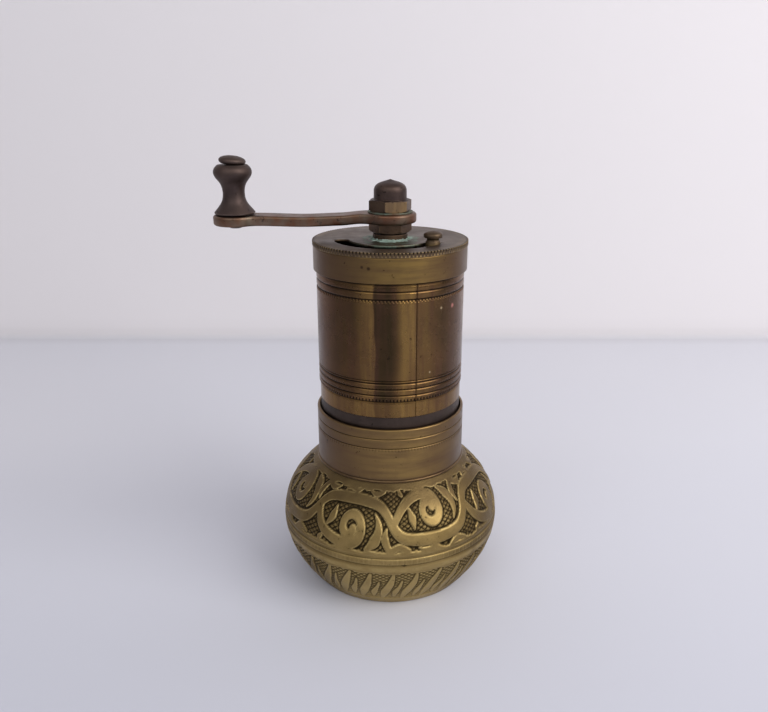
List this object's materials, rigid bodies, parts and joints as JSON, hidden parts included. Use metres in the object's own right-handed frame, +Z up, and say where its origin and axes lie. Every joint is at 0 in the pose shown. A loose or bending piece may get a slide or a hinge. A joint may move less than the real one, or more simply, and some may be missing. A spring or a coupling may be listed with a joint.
{
  "type": "poppy seed mill",
  "caption": "Hand cranked brass poppy seed mill with a round cup, a lift-off barrel, a shuttered fill slot and an adjustable conical burr set.",
  "frame": {"origin": "centre of the cup's flat base, on the mill's axis", "axes": "+Z up along the shaft, the crank arm points towards -X at rest, the fill slot faces -Y"},
  "size_m": [0.0895, 0.072, 0.1383],
  "materials": {
    "bowl_brass": "aged cast brass, dark in the recesses and rubbed bright on the relief",
    "collar_brass": "aged turned brass, olive gold",
    "barrel_brass": "drawn brass with a brown copper patina",
    "cap_brass": "aged turned brass, olive gold",
    "hub_bronze": "brown bronze, dull",
    "arm_bronze": "red brown bronze, rubbed",
    "dark_bronze": "near black brown patina, satin",
    "knob_bronze": "near black brown patina, matt",
    "burr_iron": "dark blued iron",
    "dark_steel": "dull steel",
    "bright_steel": "polished ball"
  },
  "bodies": {
    "cup": {"cup_bowl": "bowl_brass", "cup_collar": "collar_brass"},
    "barrel": {"barrel_tube": "barrel_brass", "cap_ring": "cap_brass", "top_plate": "cap_brass", "neck_bush": "hub_bronze", "shutter_retainer": "cap_brass", "burr_ring": "burr_iron", "bridge": "burr_iron", "bridge_screws": "dark_steel"},
    "shutter": {"shutter_plate": "cap_brass", "shutter_knob": "cap_brass"},
    "thrust": {"thrust_ball": "bright_steel"},
    "adjuster": {"grind_adjuster": "collar_brass"},
    "crank": {"main_shaft": "dark_steel", "burr_cone": "burr_iron", "burr_clip": "dark_steel", "lower_nut": "hub_bronze", "crank_arm": "arm_bronze", "arm_washer": "hub_bronze", "acorn_nut": "dark_bronze", "knob_pin": "dark_bronze"},
    "knob": {"knob_grip": "knob_bronze"}
  },
  "joints": [
    {"name": "barrel_lift", "type": "slide", "parent": "cup", "child": "barrel", "axis": [0, 0, 1], "range_m": [-0.0084, 0.03]},
    {"name": "shutter_turn", "type": "hinge", "parent": "barrel", "child": "shutter", "pos_m": [0, 0, 0.112], "axis": [0, 0, 1], "range_deg": [-128, 0]},
    {"name": "burr_lift", "type": "slide", "parent": "barrel", "child": "thrust", "axis": [0, 0, 1], "range_m": [-0.00035, 0.0007]},
    {"name": "adjuster_turn", "type": "hinge", "parent": "thrust", "child": "adjuster", "pos_m": [0, 0, 0.036], "axis": [0, 0, 1], "range_deg": [-180, 360]},
    {"name": "crank_turn", "type": "hinge", "parent": "thrust", "child": "crank", "pos_m": [0, 0, 0.1], "axis": [0, 0, 1], "continuous": true},
    {"name": "knob_spin", "type": "hinge", "parent": "crank", "child": "knob", "pos_m": [-0.04687, -0.00164, 0.128], "axis": [0, 0, 1], "continuous": true}
  ],
  "couplings": [
    {"joint": "adjuster_turn", "follows": "burr_lift", "rad_per_m": 8976}
  ]
}
